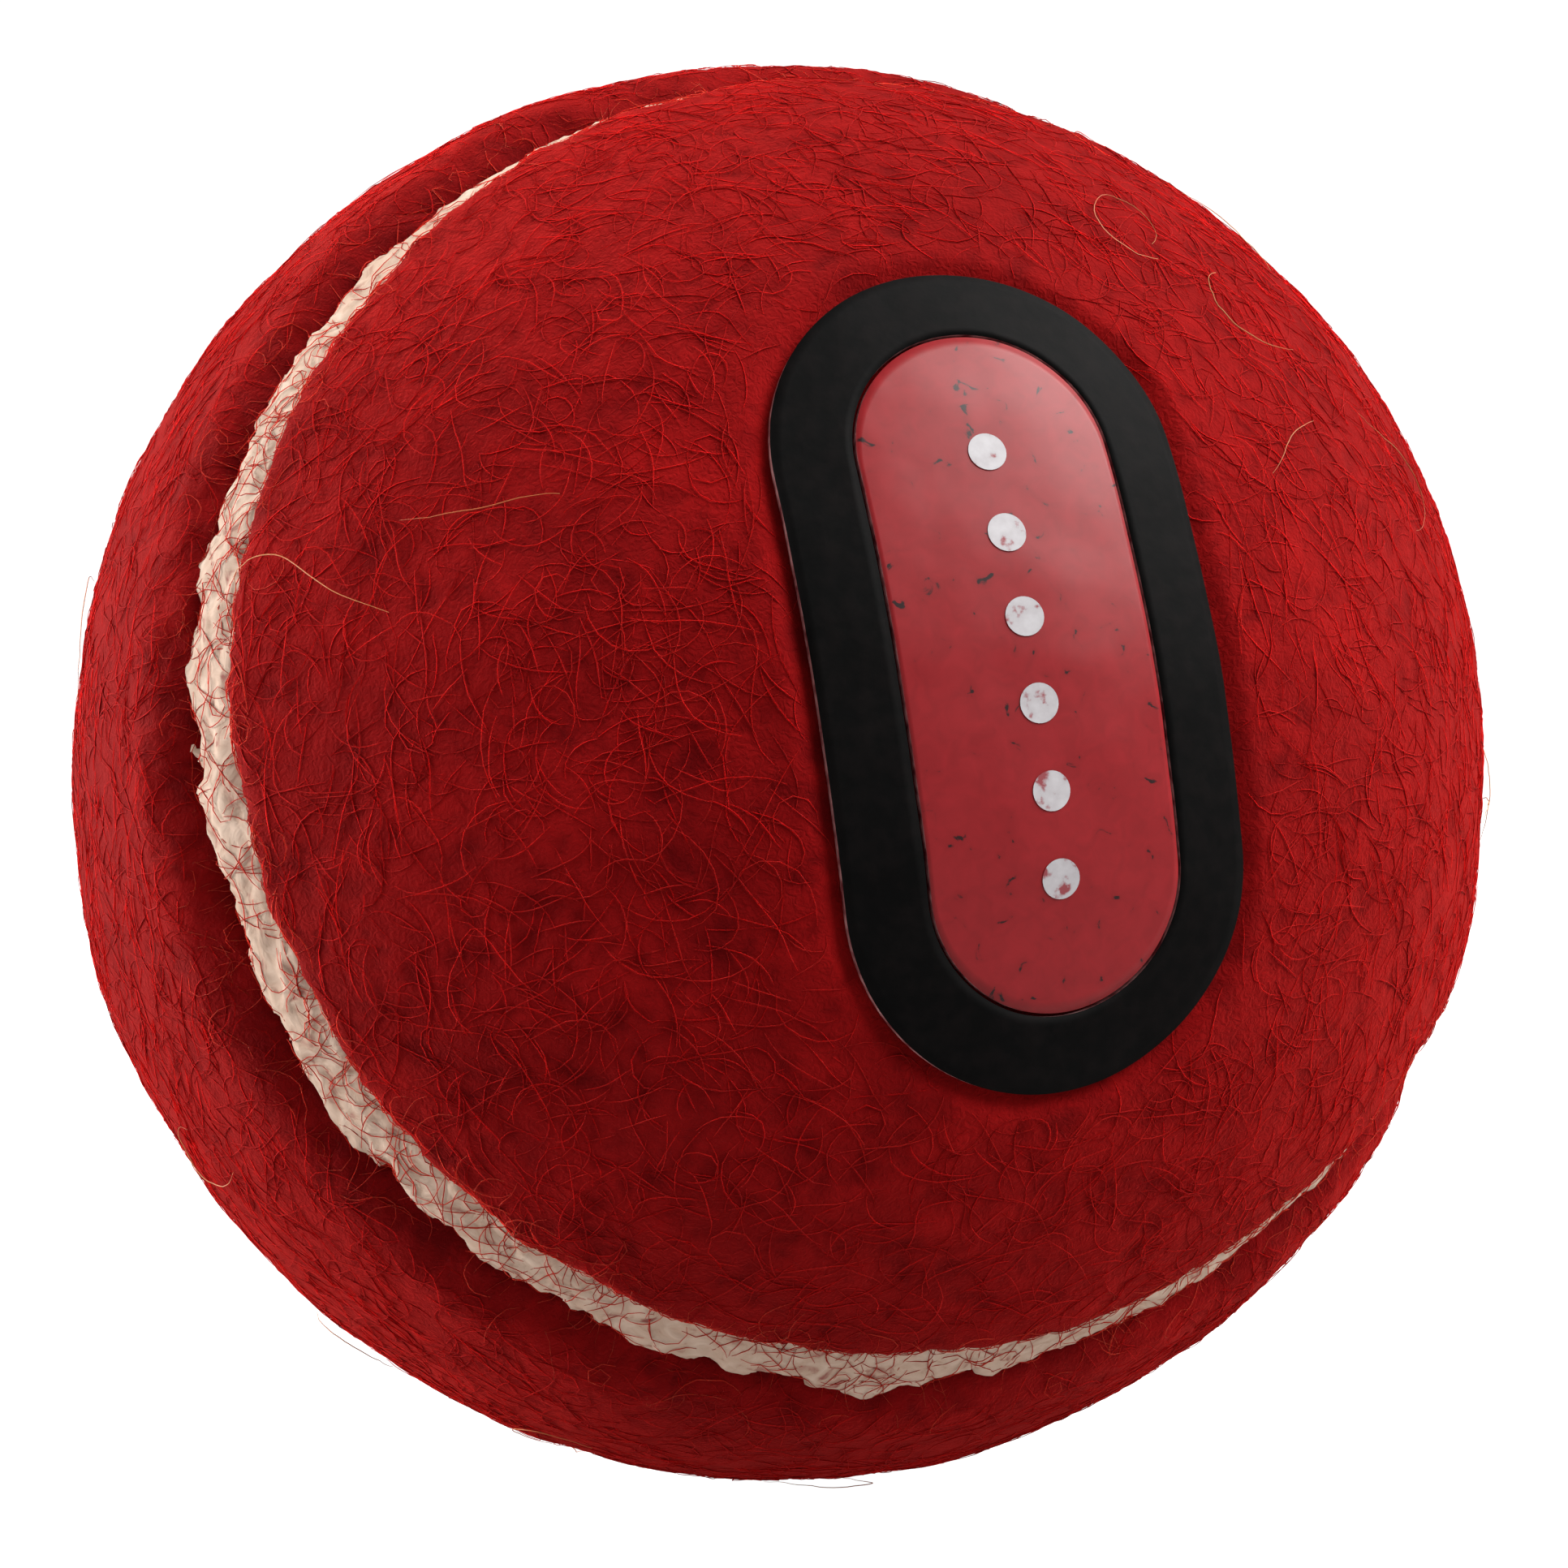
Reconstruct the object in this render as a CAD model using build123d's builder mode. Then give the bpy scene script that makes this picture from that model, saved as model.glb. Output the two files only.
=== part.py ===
"""Practice cricket ball: a hollow rubber core in two cemented halves, covered like a tennis ball
with two dumbbell-shaped felt panels whose edges meet in one winding cement seam.

Millimetres. The origin is the middle of the ball, +Z is up as the ball lies, and the printed
lobe of panel A looks towards -Y.
"""
import os
from math import atan2, cos, degrees, pi, radians, sin, sqrt, tan

from build123d import *

os.makedirs("parts", exist_ok=True)

# Driving dimensions
ball_d = 66.0  # over the felt
nap_t = 2.4  # raised fibre of the felt
cloth_t = 0.6  # woven base of the felt
coat_t = 0.25  # rubber solution brushed over the whole core
core_wall = 4.2  # moulded rubber shell
joint_t = 0.15  # cement between the two half shells
joint_bead = 0.5  # radius of the half-round bead that cement leaves inside the core
seam_w = 3.8  # gap between the panel edges, along the surface
seam_sunk = 1.1  # the cement lies this far below the felt
neck_w = 21.9  # narrowest part of a panel, from seam middle to seam middle

# Printed mark: a round-ended frame with a plain field inside it
mark_l = 26.0
mark_w = 13.0
mark_border = 2.4
mark_turn = 88.0  # long axis, away from the panel's neck
mark_along = 3.0  # middle of the mark, along its length from the middle of the lobe
film_t = 0.12
film_gap = 0.1  # between the two films, and round the outer film in the felt

# The cover is drawn with panel A's neck over the pole, +Z, and its two lobes towards +X and -X.
# The ball then lies turned about X, then Y, then Z.
lie = Rotation(-83.0, 53.5, -20.0)

# Radii, from the felt inwards
ball_r = ball_d / 2
cloth_r = ball_r - nap_t
coat_r = cloth_r - cloth_t
core_r = coat_r - coat_t
bore_r = core_r - core_wall
seam_r = ball_r - seam_sunk

# The seam is four equal arcs, each a circle round the middle of one lobe. The lobes stand a
# quarter turn apart, panel A's dropped below the equator and panel B's raised above it, so that
# each arc runs smoothly into the next where they cross the equator.
reach = pi / 2 - neck_w / ball_r / 2  # from a lobe's middle, over the pole, to the neck's far edge
drop = atan2(sqrt(0.5) - cos(reach), sin(reach))
lobe_drop = degrees(drop)
lobe_angle = degrees(reach - drop)
half_seam = degrees(seam_w / ball_r / 2)

# Each turn carries panel A's first lobe, with its arc of the seam, to the next lobe round
lobe_turns = [Rotation(0, 0, 90 * n) * Rotation(180 * (n % 2), 0, 0) for n in range(4)]
panel_turn = lobe_turns[1]
lobe = Rotation(0, lobe_drop, 0)  # X runs out through the middle of the first lobe
lobe_axis = Axis((0, 0, 0), (lobe * Pos(1, 0, 0)).position)
lobe_section = Plane(lobe * Rotation(90, 0, 0) * Plane.XZ.location)  # holds the lobe's axis


def shell(inner_r, outer_r):
    """A whole spherical layer."""
    with BuildPart() as layer:
        Sphere(outer_r)
        Sphere(inner_r, mode=Mode.SUBTRACT)
    return layer.part


def half_shell(side):
    """One moulded half of the core, its lip cut back for half of the joint cement."""
    lip = joint_t / 2 if side == Keep.TOP else -joint_t / 2
    with BuildPart() as half:
        add(shell(bore_r, core_r))
        split(bisect_by=Plane.XY.offset(lip), keep=side)
    return half.part


def lobe_ring(inner_r, outer_r, inner_angle, outer_angle):
    """A ring round the first lobe, between two radii and two angles, below the equator."""
    with BuildPart() as ring:
        with BuildSketch(lobe_section):
            with BuildLine():
                near = CenterArc((0, 0), inner_r, inner_angle, outer_angle - inner_angle)
                far = CenterArc((0, 0), outer_r, inner_angle, outer_angle - inner_angle)
                Line(near @ 0, far @ 0)
                Line(near @ 1, far @ 1)
            make_face()
        revolve(axis=lobe_axis)
        split(bisect_by=Plane.XY, keep=Keep.BOTTOM)
    return ring.part


def lobe_cone():
    """A solid cone from the middle of the ball, over the first lobe and the seam round it."""
    with BuildPart() as cone:
        with BuildSketch(lobe_section):
            rim = ball_d * tan(radians(lobe_angle + half_seam))
            Polygon((0, 0), (ball_d, 0), (ball_d, rim), align=None)
        revolve(axis=lobe_axis)
    return cone.part


def panel(inner_r, outer_r):
    """One layer of panel A: the upper half of the ball less panel B's lobes and the seam round
    them, and panel A's own two lobes below the equator."""
    with BuildPart() as felt:
        add(shell(inner_r, outer_r))
        split(bisect_by=Plane.XY, keep=Keep.TOP)
        add(lobe_turns[1] * lobe_cone(), mode=Mode.SUBTRACT)
        add(lobe_turns[3] * lobe_cone(), mode=Mode.SUBTRACT)
        add(lobe_turns[0] * lobe_ring(inner_r, outer_r, 0, lobe_angle - half_seam))
        add(lobe_turns[2] * lobe_ring(inner_r, outer_r, 0, lobe_angle - half_seam))
    return felt.part


def mark_film(inset):
    """The outer film_t of panel A's first lobe, within the mark's outline moved in by inset."""
    facing = lobe * Rotation(mark_turn, 0, 0) * Rotation(0, mark_along, 0)
    with BuildPart() as film:
        with BuildSketch(Plane(facing * Plane.YZ.location)):
            SlotOverall(mark_l - 2 * inset, mark_w - 2 * inset, rotation=90)
        extrude(amount=ball_d)
        Sphere(ball_r, mode=Mode.INTERSECT)
        Sphere(ball_r - film_t, mode=Mode.SUBTRACT)
    return film.part


# Core: two moulded half shells and the cement that joins their lips
with BuildPart() as core_half_a:
    add(lie * half_shell(Keep.TOP))

with BuildPart() as core_half_b:
    add(lie * half_shell(Keep.BOTTOM))

with BuildPart() as core_joint_cement:
    with Locations(lie):
        Torus(bore_r, joint_bead)
    Sphere(bore_r, mode=Mode.INTERSECT)
    with BuildSketch(Plane(lie)):
        Circle(core_r)
        Circle(bore_r - joint_bead / 2, mode=Mode.SUBTRACT)
    extrude(amount=joint_t / 2, both=True)
    Sphere(core_r, mode=Mode.INTERSECT)

# Rubber solution over the whole core, which holds the cover
with BuildPart() as core_cement_coat:
    add(shell(core_r, coat_r))

# Cover: each panel is a woven base cloth under its raised nap
with BuildPart() as panel_a_base_cloth:
    add(lie * panel(coat_r, cloth_r))

with BuildPart() as panel_b_base_cloth:
    add(lie * panel_turn * panel(coat_r, cloth_r))

with BuildPart() as panel_a_nap:
    add(lie * panel(cloth_r, ball_r))
    add(lie * mark_film(-film_gap), mode=Mode.SUBTRACT)

with BuildPart() as panel_b_nap:
    add(lie * panel_turn * panel(cloth_r, ball_r))

# Seam: vulcanised cement in the gap between the panel edges
with BuildPart() as seam_cement:
    arc = lobe_ring(coat_r, seam_r, lobe_angle - half_seam, lobe_angle + half_seam)
    for turn in lobe_turns:
        add(lie * turn * arc)

# Printed films, pressed level with the nap
with BuildPart() as mark_frame_film:
    add(lie * mark_film(0))
    add(lie * mark_film(mark_border), mode=Mode.SUBTRACT)

with BuildPart() as mark_field_film:
    add(lie * mark_film(mark_border + film_gap))

core_half_a.part.label = "core_half_a"
core_half_b.part.label = "core_half_b"
core_joint_cement.part.label = "core_joint_cement"
core_cement_coat.part.label = "core_cement_coat"
panel_a_base_cloth.part.label = "panel_a_base_cloth"
panel_b_base_cloth.part.label = "panel_b_base_cloth"
panel_a_nap.part.label = "panel_a_nap"
panel_b_nap.part.label = "panel_b_nap"
seam_cement.part.label = "seam_cement"
mark_frame_film.part.label = "mark_frame_film"
mark_field_film.part.label = "mark_field_film"

export_step(core_half_a.part, "parts/core_half_a.step")
export_step(core_half_b.part, "parts/core_half_b.step")
export_step(core_joint_cement.part, "parts/core_joint_cement.step")
export_step(core_cement_coat.part, "parts/core_cement_coat.step")
export_step(panel_a_base_cloth.part, "parts/panel_a_base_cloth.step")
export_step(panel_b_base_cloth.part, "parts/panel_b_base_cloth.step")
export_step(panel_a_nap.part, "parts/panel_a_nap.step")
export_step(panel_b_nap.part, "parts/panel_b_nap.step")
export_step(seam_cement.part, "parts/seam_cement.step")
export_step(mark_frame_film.part, "parts/mark_frame_film.step")
export_step(mark_field_film.part, "parts/mark_field_film.step")
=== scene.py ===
"""A felt-covered practice cricket ball, on a pale studio floor. Metres, +Z up."""

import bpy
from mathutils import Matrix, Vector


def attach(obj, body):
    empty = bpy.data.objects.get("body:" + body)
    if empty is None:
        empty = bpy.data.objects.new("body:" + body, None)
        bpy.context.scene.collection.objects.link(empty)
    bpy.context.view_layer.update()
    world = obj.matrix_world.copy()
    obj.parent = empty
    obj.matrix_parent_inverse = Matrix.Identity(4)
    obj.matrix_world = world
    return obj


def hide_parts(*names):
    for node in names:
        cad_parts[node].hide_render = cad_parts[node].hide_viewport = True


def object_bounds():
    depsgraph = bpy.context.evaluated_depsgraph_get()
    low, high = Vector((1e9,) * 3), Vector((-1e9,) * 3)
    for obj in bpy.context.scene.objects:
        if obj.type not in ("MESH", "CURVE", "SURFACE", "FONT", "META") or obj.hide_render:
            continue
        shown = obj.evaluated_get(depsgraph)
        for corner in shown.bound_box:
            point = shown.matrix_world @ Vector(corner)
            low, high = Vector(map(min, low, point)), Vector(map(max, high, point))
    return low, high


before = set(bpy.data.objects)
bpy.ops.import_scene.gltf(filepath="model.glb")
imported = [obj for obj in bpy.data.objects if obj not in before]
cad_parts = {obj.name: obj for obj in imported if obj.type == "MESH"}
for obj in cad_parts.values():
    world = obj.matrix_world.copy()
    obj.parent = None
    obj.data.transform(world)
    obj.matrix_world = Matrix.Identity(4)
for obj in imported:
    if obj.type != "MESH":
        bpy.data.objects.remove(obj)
cad_box = [list(corner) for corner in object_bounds()]

import math
import random

import bmesh
import bpy
from mathutils import Matrix, Vector, noise

# ---------------------------------------------------------------------------------------------
# Core: two moulded rubber half shells, cemented lip to lip and brushed with rubber solution.
# They are dark, slightly dusty rubber from the mould, with dried solution over the outside.


def start_finish(name, base, roughness):
    """A new material: its nodes, its links and its shader, with a plain colour and roughness set."""
    finish = bpy.data.materials.new(name)
    finish.use_nodes = True
    nodes, links = finish.node_tree.nodes, finish.node_tree.links
    shader = nodes["Principled BSDF"]
    shader.inputs["Base Color"].default_value = (*base, 1)
    shader.inputs["Roughness"].default_value = roughness
    return finish, nodes, links, shader


def grain_of(nodes, links, size, detail=4.0, distortion=0.0):
    """Noise fixed to the piece, with features about this many metres across."""
    place = nodes.new("ShaderNodeTexCoord")
    grain = nodes.new("ShaderNodeTexNoise")
    grain.inputs["Scale"].default_value = 1 / size
    grain.inputs["Detail"].default_value = detail
    grain.inputs["Distortion"].default_value = distortion
    links.new(place.outputs["Object"], grain.inputs["Vector"])
    return grain.outputs["Fac"]


def colours_along(nodes, links, value, stops):
    """Colours read off a ramp by a value from 0 to 1."""
    ramp = nodes.new("ShaderNodeValToRGB")
    for n, (at, colour) in enumerate(stops):
        stop = ramp.color_ramp.elements[n] if n < 2 else ramp.color_ramp.elements.new(at)
        stop.position = at
        stop.color = (*colour, 1)
    links.new(value, ramp.inputs["Fac"])
    return ramp.outputs["Color"]


def raise_by(nodes, links, shader, height, distance, strength=1.0):
    """Relief on the shader from a height from 0 to 1, this many metres deep."""
    relief = nodes.new("ShaderNodeBump")
    relief.inputs["Distance"].default_value = distance
    relief.inputs["Strength"].default_value = strength
    links.new(height, relief.inputs["Height"])
    links.new(relief.outputs["Normal"], shader.inputs["Normal"])


def dress(node, finish):
    """Gives a CAD node its material."""
    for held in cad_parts[node].material_slots:
        held.material = finish


moulded_rubber, nodes, links, shader = start_finish("moulded_rubber", (0.05, 0.04, 0.038), 0.7)
dust = grain_of(nodes, links, 0.0018)
dusty = [(0.35, (0.035, 0.028, 0.026)), (0.75, (0.12, 0.1, 0.09))]
links.new(colours_along(nodes, links, dust, dusty), shader.inputs["Base Color"])
raise_by(nodes, links, shader, dust, 0.00006)
dress("core_half_a", moulded_rubber)
dress("core_half_b", moulded_rubber)

dried_cement, nodes, links, shader = start_finish("dried_cement", (0.4, 0.3, 0.2), 0.5)
streaks = grain_of(nodes, links, 0.003, distortion=1.5)
ambers = [(0.3, (0.3, 0.2, 0.12)), (0.7, (0.5, 0.4, 0.27))]
links.new(colours_along(nodes, links, streaks, ambers), shader.inputs["Base Color"])
raise_by(nodes, links, shader, streaks, 0.0001)
dress("core_joint_cement", dried_cement)
dress("core_cement_coat", dried_cement)

# ---------------------------------------------------------------------------------------------
# Base cloths: the woven cotton that carries the nap, dyed with it. One lies under each panel and
# its weave shows only where the nap is worn or cut away.

base_cloth, nodes, links, shader = start_finish("base_cloth", (0.3, 0.02, 0.02), 0.9)
threads_across = 0.0007
place = nodes.new("ShaderNodeTexCoord")
weave = nodes.new("ShaderNodeTexVoronoi")
weave.distance = "CHEBYCHEV"
weave.inputs["Scale"].default_value = 1 / threads_across
weave.inputs["Randomness"].default_value = 0.25
links.new(place.outputs["Object"], weave.inputs["Vector"])
reds = [(0.0, (0.42, 0.05, 0.05)), (0.8, (0.12, 0.008, 0.01))]
links.new(colours_along(nodes, links, weave.outputs["Distance"], reds), shader.inputs["Base Color"])
raise_by(nodes, links, shader, weave.outputs["Distance"], 0.0002, 0.6)
dress("panel_a_base_cloth", base_cloth)
dress("panel_b_base_cloth", base_cloth)

# ---------------------------------------------------------------------------------------------
# Felt: two dumbbell-shaped panels of needled wool and nylon, stretched round the core so that
# they meet along one winding seam. The nap is teased into a soft web with shallow hollows, and
# shade is painted into the felt's colour in those hollows and where the edges roll into the seam.

ball_r = (cad_box[1][0] - cad_box[0][0]) / 2
nap_t = 0.0024
cloth_r = ball_r - nap_t
seam_w = 0.0038
neck_w = 0.0219
mark_long, mark_short = 0.026, 0.013
mark_turn, mark_along = math.radians(88), math.radians(3)  # where the mark lies on its lobe
lie = Matrix.Rotation(math.radians(-83), 3, "X") @ Matrix.Rotation(math.radians(53.5), 3, "Y")
lie = lie @ Matrix.Rotation(math.radians(-20), 3, "Z")

# The seam is four equal arcs, each a circle round the middle of a lobe.
reach = math.pi / 2 - neck_w / ball_r / 2
drop = math.atan2(math.sqrt(0.5) - math.cos(reach), math.sin(reach))
lobe_angle = reach - drop
lobe_tilt = Matrix.Rotation(drop, 3, "Y")
lobe_turns = [
    lie @ Matrix.Rotation(math.radians(90 * n), 3, "Z") @ Matrix.Rotation(math.pi * (n % 2), 3, "X")
    for n in range(4)
]
pole = lie @ Vector((0, 0, 1))
dropped = [lobe_turns[n] @ lobe_tilt @ Vector((1, 0, 0)) for n in (0, 2)]
raised = [lobe_turns[n] @ lobe_tilt @ Vector((1, 0, 0)) for n in (1, 3)]
mark_place = lie @ lobe_tilt @ Matrix.Rotation(mark_turn, 3, "X")
mark_place = mark_place @ Matrix.Rotation(mark_along, 3, "Y")


def past_seam(out):
    """How far a place lies from the middle of the seam, along the felt: + on panel A, - on B."""
    if out.dot(pole) >= 0:
        return (math.acos(max(out.dot(m) for m in raised)) - lobe_angle) * ball_r
    return (lobe_angle - math.acos(max(out.dot(m) for m in dropped))) * ball_r


def off_mark(out):
    """How far a place lies outside the printed mark's outline; less than 0 inside it."""
    across = mark_place.transposed() @ out
    if across.x < 0:
        return ball_r  # the far half of the ball
    straight = (mark_long - mark_short) / 2
    past_end = max(abs(across.z * ball_r) - straight, 0)
    return math.hypot(across.y * ball_r, past_end) - mark_short / 2


def smooth(low, high, value):
    """0 below low, 1 above high, and an even curve between."""
    t = min(max((value - low) / (high - low), 0.0), 1.0)
    return t * t * (3 - 2 * t)


web_size = 0.00125  # from one hollow in the nap to the next
web_tall = 0.00013
swell = 0.00024  # slow unevenness of the felt
pressed_in = 0.00042  # how deep the hot films press the nap


noise.seed_set(66)  # the same nap on every run


def teased(out):
    """(height above the ball's radius, hollowness from 0 on a strand to 1 in a hollow, which also
    paints shade into the felt's colour) of the nap.
    """
    at = out * (ball_r / web_size)
    curled = at + noise.noise_vector(at * 0.8) * 0.6 + noise.noise_vector(at * 2.1) * 0.3
    near = noise.voronoi(curled)[0]
    hollow = smooth(0.06, 0.7, near[1] - near[0])
    tufts = noise.fractal(at * 0.55, 0.8, 2.0, 4)
    slow = noise.noise(at * 0.12) + 0.5 * noise.noise(at * 0.3)
    pit = min(max(0.42 * hollow + 0.28 - 0.3 * tufts, 0.0), 1.0)
    tall = web_tall * (0.5 - pit) + swell * slow
    pressed = 1 - smooth(0.0, 0.0008, off_mark(out))
    return tall * (1 - pressed) - pressed_in * pressed, pit


# The two panels' cut edges differ: A's hangs over the cement in a fine frayed line, and B's
# rolls gently down to it.
edge_rolls = {1: 0.0011, -1: 0.0024}
edge_drop = 0.0011
tucked_in = 0.0011  # how far the felt runs on under the cement


def nap_r(out, side):
    """(radius, painted shade) of the nap of the panel on this side of the seam; the shade is painted
    darker in hollows and down the cut edge into the seam.
    """
    tall, pit = teased(out)
    at = out * ball_r
    frayed = noise.noise(at / 0.0030) * 0.00030 + noise.noise(at / 0.0009) * 0.00024
    frayed += noise.noise(at / 0.0003) * 0.00016
    inside = side * past_seam(out) - seam_w / 2 + frayed + 0.00045
    roll = edge_rolls[side]
    if inside >= roll:
        return ball_r + tall, pit
    if inside > 0:
        # Painted shade: towards the seam the felt's colour is painted darker as the edge rolls down,
        # and darkest on the wall into the groove.
        t = 1 - inside / roll
        rolled = edge_drop * (1 - math.sqrt(1 - t * t)) if side > 0 else edge_drop * t * t
        return ball_r + tall * (1 - t) - rolled, pit + 0.25 * t * t
    return max(ball_r - edge_drop + inside * 2.2, cloth_r - 0.0001), 0.95


def wool_shades(nodes, links, value, shader, shades):
    """Colours the shader along a value, from light to dark wool."""
    stops = list(zip((0.1, 0.5, 0.95), shades))
    links.new(colours_along(nodes, links, value, stops), shader.inputs["Base Color"])
    shader.inputs["Specular IOR Level"].default_value = 0.04
    shader.inputs["Sheen Roughness"].default_value = 0.5
    shader.inputs["Sheen Tint"].default_value = (1.0, 0.045, 0.035, 1)


def weighed(nodes, links, added, weight, to):
    """A value plus another times a weight."""
    sum_of = nodes.new("ShaderNodeMath")
    sum_of.operation = "MULTIPLY_ADD"
    links.new(added, sum_of.inputs[0])
    sum_of.inputs[1].default_value = weight
    links.new(to, sum_of.inputs[2])
    return sum_of.outputs[0]


felt, nodes, links, shader = start_finish("felt", (0.2, 0.003, 0.004), 0.95)
# Painted shade: a value kept on each point paints the felt darker in the nap's hollows and down its
# edges into the seam.
painted_shade = nodes.new("ShaderNodeAttribute")
painted_shade.attribute_name = "painted_shade"
fuzz = grain_of(nodes, links, 0.00028, 5, 1.5)
patches = grain_of(nodes, links, 0.011, 3)
mixed = weighed(nodes, links, fuzz, -0.5, painted_shade.outputs["Fac"])
mixed = weighed(nodes, links, patches, 0.7, mixed)
reds = [(0.24, 0.004, 0.0045), (0.17, 0.0026, 0.0032), (0.10, 0.0014, 0.0022)]
wool_shades(nodes, links, mixed, shader, reds)
shader.inputs["Sheen Weight"].default_value = 0.4
raise_by(nodes, links, shader, fuzz, 0.00012, 0.8)


def add_piece(name, mesh, finishes):
    """Puts a mesh in the scene as a piece that belongs to the ball."""
    piece = bpy.data.objects.new(name, mesh)
    bpy.context.scene.collection.objects.link(piece)
    for finish in finishes:
        mesh.materials.append(finish)
    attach(piece, "root")
    return piece


def felt_panel(name, side):
    """A panel's outer face, rolled down at its edge into the seam."""
    bm = bmesh.new()
    bmesh.ops.create_icosphere(bm, subdivisions=8, radius=ball_r)
    kept_from = seam_w / 2 - tucked_in
    beyond = [v for v in bm.verts if side * past_seam(v.co.normalized()) < kept_from]
    bmesh.ops.delete(bm, geom=beyond, context="VERTS")
    # Each point keeps its painted shade for the felt's colour.
    painted_shade = bm.verts.layers.float.new("painted_shade")
    for v in bm.verts:
        out = v.co.normalized()
        r, v[painted_shade] = nap_r(out, side)
        v.co = out * r
    for face in bm.faces:
        face.smooth = True
    mesh = bpy.data.meshes.new(name)
    bm.to_mesh(mesh)
    bm.free()
    return add_piece(name, mesh, [felt])


panel_a = felt_panel("panel_a_felt", 1)
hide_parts("panel_a_nap")
panel_b = felt_panel("panel_b_felt", -1)
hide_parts("panel_b_nap")

# ---------------------------------------------------------------------------------------------
# Nap fibres: fine curled wool teased out of the felt, which lies over it as a loose web. Most
# of it lies flat, a little stands up, and along the seam it reaches out over the cement.

strand_joints, stray_joints = 8, 28


def laid(start, heading, length, curl, lift, side, draw, over=None, joints=strand_joints):
    """The points of one strand, wandering over the felt from a start with this much curl."""
    out, ahead = start.copy(), heading.copy()
    step = length / (joints - 1)
    bend = draw.gauss(0, curl)
    points = []
    for n in range(joints):
        along = n / (joints - 1)
        under = over(out) if over else nap_r(out, side)[0]
        points.append(out * (under + lift * math.sin(math.pi * (0.1 + 0.8 * along))))
        bend += draw.gauss(0, curl * 0.6)
        ahead = Matrix.Rotation(bend * step, 3, out) @ ahead
        out = (out + ahead * (step / ball_r)).normalized()
        ahead = (ahead - out * ahead.dot(out)).normalized()
    return points


def spun(name, strands, thick, finish):
    """A piece made of strands, each a fine three-sided tube that thins to its ends."""
    section = bpy.data.curves.new("section", "CURVE")
    section.dimensions = "2D"
    ring = section.splines.new("POLY")
    ring.points.add(2)
    for n, point in enumerate(ring.points):
        turn = -2 * math.pi * n / 3
        point.co = (thick * math.cos(turn), thick * math.sin(turn), 0, 1)
    ring.use_cyclic_u = True
    profile = bpy.data.objects.new("section", section)
    line = bpy.data.curves.new(name, "CURVE")
    line.dimensions = "3D"
    line.bevel_mode = "OBJECT"
    line.bevel_object = profile
    for points in strands:
        spline = line.splines.new("POLY")
        spline.points.add(len(points) - 1)
        last = len(points) - 1
        for n, (point, at) in enumerate(zip(spline.points, points)):
            point.co = (*at, 1)
            point.radius = 0.3 + 0.7 * math.sin(math.pi * min(max(n / last, 0.06), 0.94))
    loose = bpy.data.objects.new(name, line)
    for shown in (profile, loose):
        bpy.context.scene.collection.objects.link(shown)
    bpy.context.view_layer.update()
    seen = bpy.context.evaluated_depsgraph_get()
    mesh = bpy.data.meshes.new_from_object(loose.evaluated_get(seen))
    for made in (loose, profile):
        bpy.data.objects.remove(made)
    for made in (line, section):
        bpy.data.curves.remove(made)
    for face in mesh.polygons:
        face.use_smooth = True
    mesh.name = name
    mesh.materials.clear()
    return add_piece(name, mesh, [finish])


def anywhere(draw):
    z, turn = draw.uniform(-1, 1), draw.uniform(0, 2 * math.pi)
    flat = math.sqrt(1 - z * z)
    return Vector((flat * math.cos(turn), flat * math.sin(turn), z))


def square_to(out, draw):
    """A random direction along the felt."""
    any_way = anywhere(draw)
    return (any_way - out * any_way.dot(out)).normalized()


def web(side, count, longest, lift, seed):
    """Strands scattered over one panel, clear of the mark and of the seam."""
    draw = random.Random(seed)
    strands = []
    while len(strands) < count:
        start = anywhere(draw)
        if side * past_seam(start) < seam_w / 2 + 0.0004 or off_mark(start) < 0.0004:
            continue
        length = longest * draw.uniform(0.35, 1)
        points = laid(start, square_to(start, draw), length, 420, lift * draw.random(), side, draw)
        if off_mark(points[-1].normalized()) < 0 or side * past_seam(points[-1].normalized()) < 0.0012:
            continue
        strands.append(points)
    return strands


def strand_finish(name, tint, sheen):
    wool, nodes, links, shader = start_finish(name, tint, 0.85)
    patches = grain_of(nodes, links, 0.005, 3)
    shades = [tuple(c * part for c in tint) for part in (1.25, 1.0, 0.6)]
    wool_shades(nodes, links, patches, shader, shades)
    shader.inputs["Sheen Weight"].default_value = sheen
    shader.inputs["Subsurface Weight"].default_value = 1.0
    shader.inputs["Subsurface Radius"].default_value = (1.0, 0.12, 0.10)
    shader.inputs["Subsurface Scale"].default_value = 0.0001
    return wool


crimson_wool = strand_finish("crimson_wool", (0.17, 0.0028, 0.0035), 0.4)
bright_wool = strand_finish("bright_wool", (0.20, 0.0045, 0.0045), 0.4)
web_count = 4200
# Each layer: its name, wool, strand radius, longest strand and highest lift.
layers = [
    ("under", crimson_wool, 0.000024, 0.0036, 0.00004),
    ("middle", crimson_wool, 0.000020, 0.0030, 0.00007),
    ("upper", bright_wool, 0.000017, 0.0042, 0.00009),
]
fibres = {1: [], -1: []}
for side, panel in ((1, "a"), (-1, "b")):
    for n, (layer, wool, thick, longest, lift) in enumerate(layers):
        strands = web(side, web_count, longest, lift, 10 * n + side)
        fibres[side].append(spun(f"panel_{panel}_fibres_{layer}", strands, thick, wool))

# ---------------------------------------------------------------------------------------------
# Seam: rubber cement in the gap between the panels, cured in the mould. It bulges in lobes over
# panel B's edge, is drawn in under panel A's, and sets with a lumpy, chalky face.

seam_sunk = 0.0011
lobe_length = 0.0034  # of one bulge along the seam


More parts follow.
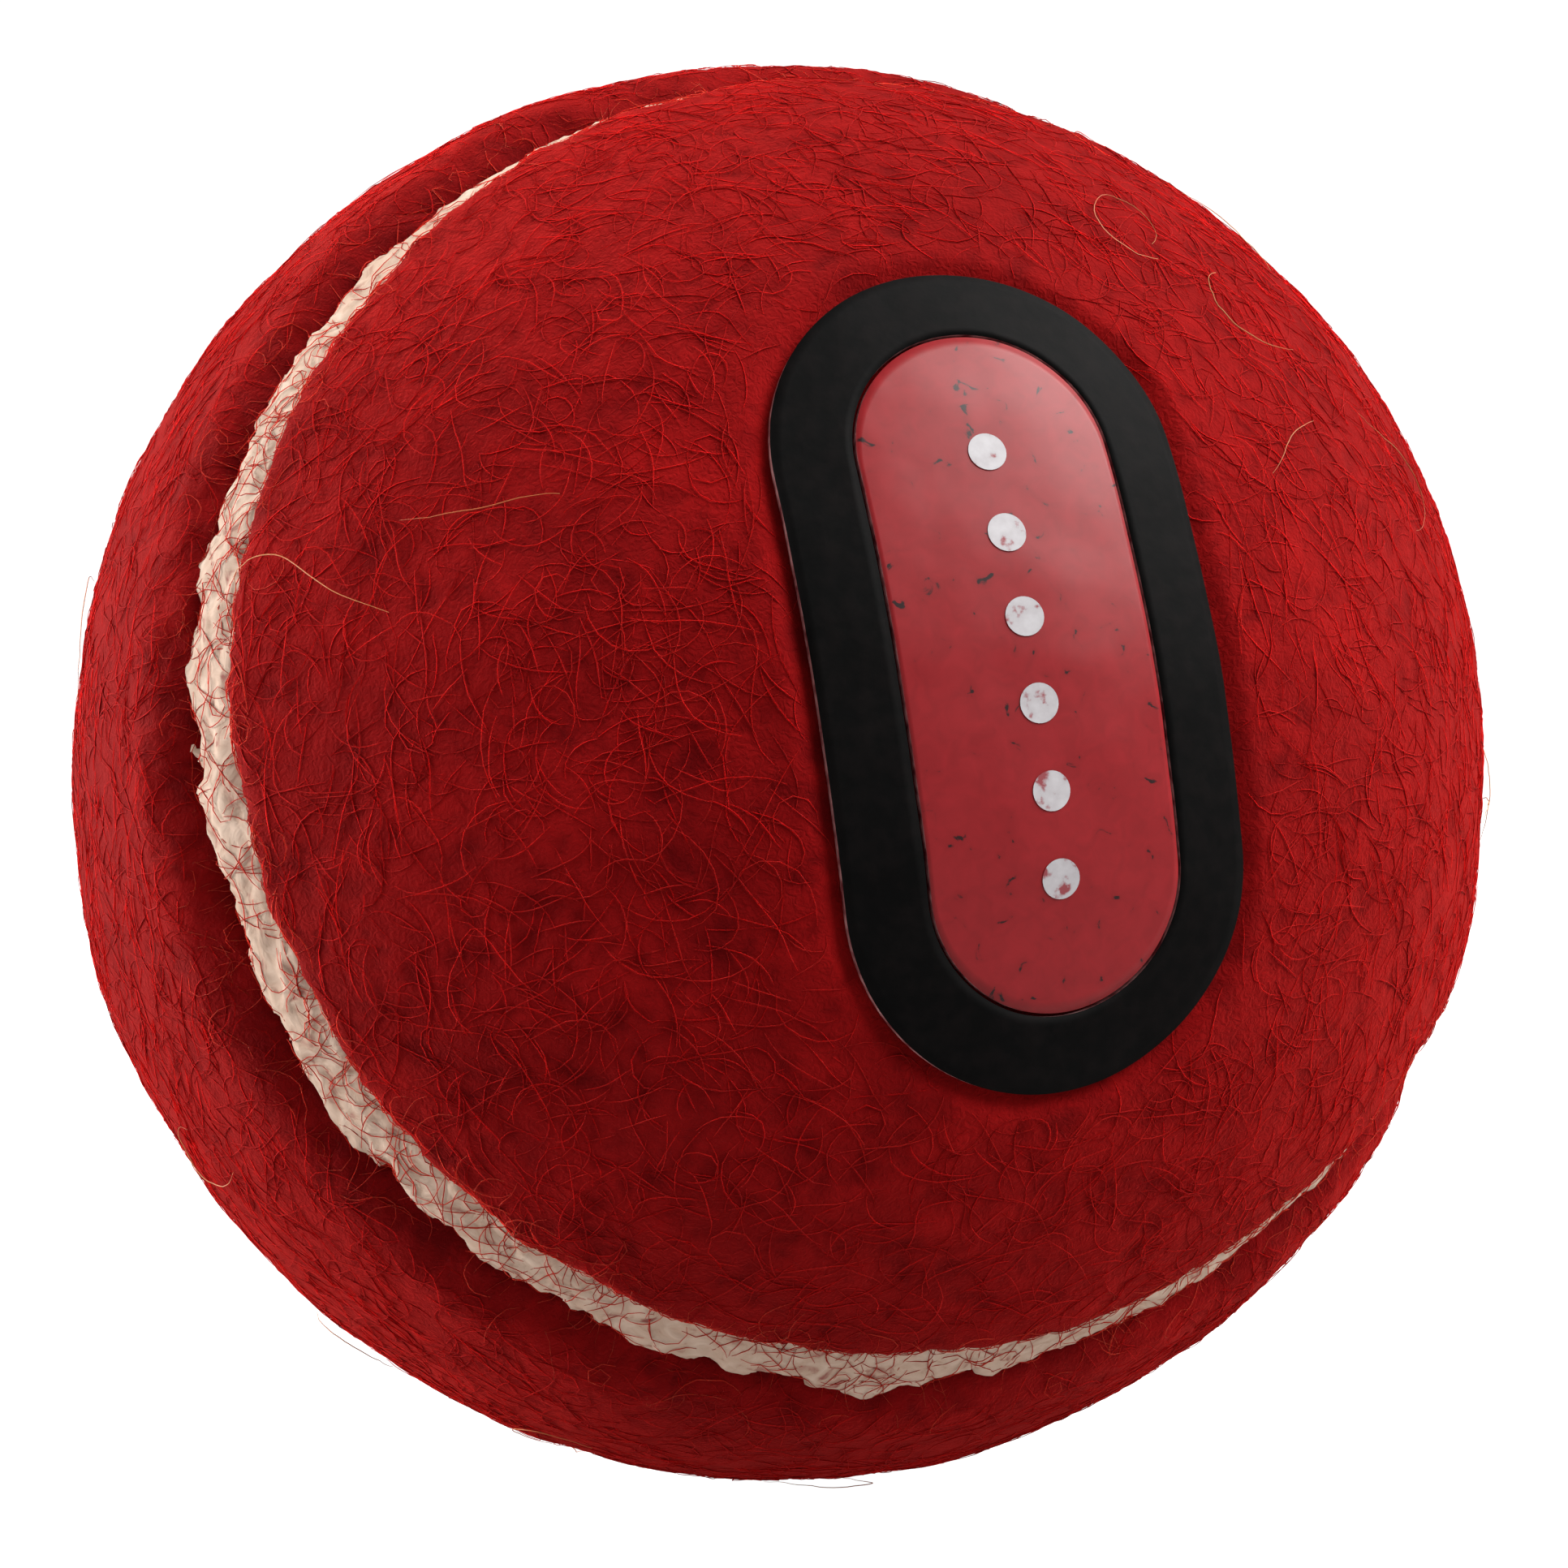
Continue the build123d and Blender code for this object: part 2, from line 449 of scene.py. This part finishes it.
def cement_edges(out):
    """How far the cement reaches from the seam's middle towards panel A and towards panel B."""
    at = out * ball_r
    bulge = abs(noise.noise(at / lobe_length)) + 0.5 * abs(noise.noise(at / 0.0013))
    bulge += 0.6 * noise.noise(at / 0.018)
    worn = 0.00020 * noise.noise(at / 0.0005) + 0.00014 * noise.noise(at / 0.00025)
    return 0.0019 + worn, max(0.0007 + 0.0020 * bulge, 0.0006) + worn


def cement_r(out):
    at = out * ball_r
    across = past_seam(out)
    to_a, to_b = cement_edges(out)
    t = across / to_a if across > 0 else -across / to_b
    lumps = 0.00012 * noise.noise(at / 0.0013) + 0.00010 * noise.noise(at / 0.00042)
    if t < 1:
        return ball_r - seam_sunk + 0.00055 * math.sqrt(1 - t ** 3) - 0.0001 + lumps
    return ball_r - seam_sunk - 0.0001 - min((t - 1) * 0.004, 0.0010)


def seam_bead():
    """Four arcs, each spun round the middle of a lobe, joined into one winding bead."""
    bm = bmesh.new()
    across, along = 36, 460
    start = math.acos(math.sin(drop) * math.sqrt(0.5) / math.sin(lobe_angle))
    for n in range(4):
        turned = lobe_turns[n] @ lobe_tilt @ Matrix.Rotation(start, 3, "X")
        middle = turned @ Vector((1, 0, 0))
        half = (seam_w / 2 + 0.0007) / ball_r
        row = []
        for k in range(across + 1):
            angle = lobe_angle + half * (2 * k / across - 1)
            row.append(bm.verts.new(turned @ Vector((math.cos(angle), 0, math.sin(angle))) * ball_r))
        edges = [bm.edges.new(pair) for pair in zip(row, row[1:])]
        turn = 2 * math.pi - 2 * start
        bmesh.ops.spin(bm, geom=row + edges, axis=middle, cent=(0, 0, 0), angle=turn, steps=along)
    bmesh.ops.remove_doubles(bm, verts=bm.verts, dist=0.00002)
    for v in bm.verts:
        out = v.co.normalized()
        v.co = out * cement_r(out)
    bmesh.ops.recalc_face_normals(bm, faces=bm.faces)
    for face in bm.faces:
        face.smooth = True
    mesh = bpy.data.meshes.new("seam_bead")
    bm.to_mesh(mesh)
    bm.free()
    return mesh


cured_cement, nodes, links, shader = start_finish("cured_cement", (0.56, 0.4, 0.3), 0.8)
chalk = grain_of(nodes, links, 0.0008, 6, 0.8)
creams = [(0.28, (0.32, 0.11, 0.09)), (0.42, (0.56, 0.40, 0.30)), (0.7, (0.68, 0.53, 0.42))]
links.new(colours_along(nodes, links, chalk, creams), shader.inputs["Base Color"])
shader.inputs["Specular IOR Level"].default_value = 0.15
raise_by(nodes, links, shader, chalk, 0.00015, 0.7)
bead = add_piece("seam_bead", seam_bead(), [cured_cement])
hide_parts("seam_cement")


nudge = 0.00001  # a step just long enough to tell which way the cement lies
hair_lift = 0.0001


def seam_hairs(side, count, seed):
    """Strands that start in a panel's cut edge and wander out over the cement."""

    def over(out):
        return max(cement_r(out), nap_r(out, side)[0], nap_r(out, -side)[0])

    draw = random.Random(seed)
    strands = []
    while len(strands) < count:
        start = anywhere(draw)
        near = side * past_seam(start)
        if not 0.0009 < near < 0.0028:
            continue
        ways = [square_to(start, draw) for _ in range(4)]
        heading = min(ways, key=lambda way: side * past_seam((start + way * nudge).normalized()))
        length = draw.uniform(0.0012, 0.0036)
        lift = hair_lift * draw.random()
        strands.append(laid(start, heading, length, 700, lift, side, draw, over))
    return strands


edge_wool = strand_finish("edge_wool", (0.24, 0.020, 0.012), 0.3)
hair_count = 2600
edge_hair_r = 0.000020
for side, panel in ((1, "a"), (-1, "b")):
    hairs = seam_hairs(side, hair_count if side > 0 else hair_count // 2, 50 + side)
    fibres[side].append(spun(f"panel_{panel}_seam_hairs", hairs, edge_hair_r, edge_wool))

# ---------------------------------------------------------------------------------------------
# Stray hairs: a few long golden and orange hairs of undyed wool, shed while the felt was made.
# They cling loosely to the nap, half standing off it.

undyed_wool, nodes, links, shader = start_finish("undyed_wool", (0.55, 0.16, 0.04), 0.6)
tones = grain_of(nodes, links, 0.008, 2)
golds = [(0.35, (0.50, 0.10, 0.025)), (0.65, (0.60, 0.28, 0.09))]
links.new(colours_along(nodes, links, tones, golds), shader.inputs["Base Color"])


def stray_hairs(side, count, seed):
    """Long loose hairs, each of several curls."""
    draw = random.Random(seed)
    strands = []
    while len(strands) < count:
        start = anywhere(draw)
        if side * past_seam(start) < 0.008 or off_mark(start) < 0.005:
            continue
        length = draw.uniform(0.004, 0.009)
        lift = draw.uniform(0.0002, 0.0005)
        points = laid(start, square_to(start, draw), length, 160, lift, side, draw, joints=stray_joints)
        if off_mark(points[-1].normalized()) > 0.001:
            strands.append(points)
    return strands


stray_count, stray_r = 24, 0.000022
for side, panel in ((1, "a"), (-1, "b")):
    hairs = stray_hairs(side, stray_count, 70 + side)
    fibres[side].append(spun(f"panel_{panel}_stray_hairs", hairs, stray_r, undyed_wool))

# ---------------------------------------------------------------------------------------------
# Printed mark: thin films pressed hot into the nap of the first lobe. A black round-ended frame
# lies round a satin red field that carries a plain row of round white spots.

film_t = 0.00012
frame_wide = 0.0024


def on_mark(u, v, lifted):
    """A place on the mark, u across it and v along it, lifted off the ball's radius."""
    place = Vector((u, v, 0))
    slow = noise.noise(place / 0.006) * 0.00012 + noise.noise(place / 0.0021) * 0.00004
    r = ball_r + lifted + slow
    return mark_place @ Vector((math.sqrt(r * r - u * u - v * v), u, v))


def on_outline(turn, part, half_short, half_long):
    """A place this part of the way out to a round-ended outline, in the direction turn."""
    u, v = math.cos(turn), math.sin(turn)
    straight = half_long - half_short
    reach = half_short / max(abs(u), 1e-9)
    if abs(v) * reach > straight:
        reach = straight * abs(v) + math.sqrt(half_short ** 2 - (straight * u) ** 2)
    return u * reach * part, v * reach * part


def film(name, inner, outer, rings, lifted, finishes):
    """A film between two outlines, given by their half widths and lengths, with its cut edges."""
    bm = bmesh.new()
    first = 1.0 if inner else 0.0
    row = [bm.verts.new((first + n / rings, 0, 0)) for n in range(rings + 1)]
    spokes = [bm.edges.new(pair) for pair in zip(row, row[1:])]
    up, whole = (0, 0, 1), 2 * math.pi
    spokes = row + spokes
    bmesh.ops.spin(bm, geom=spokes, axis=up, cent=(0, 0, 0), angle=whole, steps=320, use_merge=True)
    bmesh.ops.remove_doubles(bm, verts=bm.verts, dist=0.00001)
    rim = bmesh.ops.extrude_edge_only(bm, edges=[e for e in bm.edges if e.is_boundary])
    under = {e for e in rim["geom"] if isinstance(e, bmesh.types.BMVert)}
    for face in rim["geom"]:
        if isinstance(face, bmesh.types.BMFace):
            face.material_index = 1
    for v in bm.verts:
        turn, part = math.atan2(v.co.y, v.co.x), math.hypot(v.co.x, v.co.y) - first
        far = on_outline(turn, 1, *outer)
        near = on_outline(turn, 1, *inner) if inner else (0, 0)
        u, w = (near[n] + (far[n] - near[n]) * part for n in (0, 1))
        v.co = on_mark(u, w, lifted - (film_t * 2 if v in under else 0))
    bmesh.ops.recalc_face_normals(bm, faces=bm.faces)
    if sum(f.normal.dot(mark_place @ Vector((1, 0, 0))) * f.calc_area() for f in bm.faces) < 0:
        bmesh.ops.reverse_faces(bm, faces=bm.faces)
    mesh = bpy.data.meshes.new(name)
    bm.to_mesh(mesh)
    bm.free()
    for face in mesh.polygons:
        face.use_smooth = face.material_index == 0
    return add_piece(name, mesh, finishes)


cut_edge, nodes, links, shader = start_finish("cut_edge", (0.25, 0.06, 0.07), 0.6)
scuffs = grain_of(nodes, links, 0.0004)
pales = [(0.35, (0.12, 0.01, 0.015)), (0.65, (0.4, 0.2, 0.2))]
links.new(colours_along(nodes, links, scuffs, pales), shader.inputs["Base Color"])

black_film, nodes, links, shader = start_finish("black_film", (0.003, 0.003, 0.0035), 0.7)
dull = grain_of(nodes, links, 0.0006, 3)
inks = [(0.4, (0.0015, 0.0015, 0.0015)), (0.75, (0.004, 0.003, 0.003))]
links.new(colours_along(nodes, links, dull, inks), shader.inputs["Base Color"])
shader.inputs["Specular IOR Level"].default_value = 0.06
raise_by(nodes, links, shader, dull, 0.00004, 0.5)

red_film, nodes, links, shader = start_finish("red_film", (0.30, 0.006, 0.010), 0.45)
flecks = grain_of(nodes, links, 0.0006, 4, 0.8)
satin = [(0.3, (0.015, 0.002, 0.003)), (0.34, (0.22, 0.005, 0.008)), (0.8, (0.28, 0.008, 0.012))]
links.new(colours_along(nodes, links, flecks, satin), shader.inputs["Base Color"])
shader.inputs["Specular IOR Level"].default_value = 0.3
raise_by(nodes, links, shader, grain_of(nodes, links, 0.003, 2), 0.00012, 0.4)

half_short, half_long = mark_short / 2, mark_long / 2
inside = (half_short - frame_wide, half_long - frame_wide)
frame_size = (half_short, half_long)
border = film("mark_border", inside, frame_size, 8, 0.00002, [black_film, cut_edge])
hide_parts("mark_frame_film")
film_gap = 0.0001
field_size = (inside[0] - film_gap, inside[1] - film_gap)
field = film("mark_field", None, field_size, 28, 0.00003, [red_film, cut_edge])
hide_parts("mark_field_film")

white_ink, nodes, links, shader = start_finish("white_ink", (0.62, 0.6, 0.6), 0.6)
wear = grain_of(nodes, links, 0.0005, 4)
whites = [(0.34, (0.25, 0.04, 0.05)), (0.42, (0.42, 0.40, 0.42)), (0.7, (0.50, 0.49, 0.51))]
links.new(colours_along(nodes, links, wear, whites), shader.inputs["Base Color"])
spot_r, spot_gap, spot_count = 0.00060, 0.0026, 6


def white_spots():
    """The row of spots, each a thin disc of ink that lies on the red film."""
    bm = bmesh.new()
    for n in range(spot_count):
        middle = (n - (spot_count - 1) / 2) * spot_gap
        disc = bmesh.ops.create_circle(bm, cap_ends=True, segments=32, radius=spot_r)["verts"]
        bmesh.ops.translate(bm, vec=(0, middle, 0), verts=disc)
    faces = bm.faces[:]
    sides = bmesh.ops.inset_region(bm, faces=faces, thickness=0.0001)["faces"]
    raised = {v for face in faces for v in face.verts}
    for v in bm.verts:
        v.co = on_mark(v.co.x, v.co.y, 0.00006 if v in raised else 0.00002)
    bmesh.ops.recalc_face_normals(bm, faces=bm.faces)
    if sum(f.normal.dot(mark_place @ Vector((1, 0, 0))) * f.calc_area() for f in bm.faces) < 0:
        bmesh.ops.reverse_faces(bm, faces=bm.faces)
    mesh = bpy.data.meshes.new("mark_spots")
    bm.to_mesh(mesh)
    bm.free()
    return mesh


add_piece("mark_spots", white_spots(), [white_ink])

# ---------------------------------------------------------------------------------------------
# Studio: a pale lit floor and backdrop, a big soft light high on the right, slim ones behind on
# both sides that catch the nap's rim, and a camera close in front, level with the ball's middle.

floor_mesh = bpy.data.meshes.new("floor")
bm = bmesh.new()
bmesh.ops.create_grid(bm, x_segments=1, y_segments=1, size=1.5)
bmesh.ops.translate(bm, vec=(0, 0, cad_box[0][2] - 0.0002), verts=bm.verts)
bm.to_mesh(floor_mesh)
bm.free()
floor = bpy.data.objects.new("floor", floor_mesh)
bpy.context.scene.collection.objects.link(floor)
paper, nodes, links, shader = start_finish("paper", (0.35, 0.34, 0.34), 0.9)
shader.inputs["Specular IOR Level"].default_value = 0.0
shader.inputs["Emission Color"].default_value = (1, 1, 1, 1)
looked_at = nodes.new("ShaderNodeLightPath")
links.new(looked_at.outputs["Is Camera Ray"], shader.inputs["Emission Strength"])
floor_mesh.materials.append(paper)


def softbox(name, at, size, watts, tint):
    light = bpy.data.lights.new(name, "AREA")
    light.size = size
    light.energy = watts
    light.color = tint
    lamp = bpy.data.objects.new(name, light)
    lamp.location = at
    lamp.rotation_euler = (-Vector(at)).to_track_quat("-Z", "Y").to_euler()
    bpy.context.scene.collection.objects.link(lamp)


softbox("key", (0.24, -0.10, 0.30), 0.32, 3.3, (1, 0.98, 0.96))
softbox("right_rim", (0.30, 0.20, 0.10), 0.20, 0.3, (1, 0.96, 0.94))
softbox("left_rim", (-0.34, 0.04, 0.00), 0.26, 3.6, (1, 0.97, 0.96))

world = bpy.data.worlds.new("studio")
world.use_nodes = True
world_nodes, world_links = world.node_tree.nodes, world.node_tree.links
backdrop = world_nodes["Background"]
backdrop.inputs["Color"].default_value = (1, 1, 1, 1)
seen = world_nodes.new("ShaderNodeLightPath")
level = world_nodes.new("ShaderNodeMapRange")
level.inputs["To Min"].default_value = 0.36
level.inputs["To Max"].default_value = 1.1
world_links.new(seen.outputs["Is Camera Ray"], level.inputs["Value"])
world_links.new(level.outputs["Result"], backdrop.inputs["Strength"])
bpy.context.scene.world = world
bpy.context.scene.view_settings.view_transform = "Standard"

camera_away = 2.2 * ball_r
camera_up = math.radians(3)
lens = bpy.data.cameras.new("camera")
lens.sensor_width = 36
lens.lens = 31.7
lens.clip_start = 0.005
lens.shift_x = 0.0038
lens.shift_y = -0.0074
camera = bpy.data.objects.new("camera", lens)
camera.location = (0, -camera_away * math.cos(camera_up), camera_away * math.sin(camera_up))
camera.rotation_euler = (math.pi / 2 - camera_up, 0, 0)
bpy.context.scene.collection.objects.link(camera)
bpy.context.scene.camera = camera
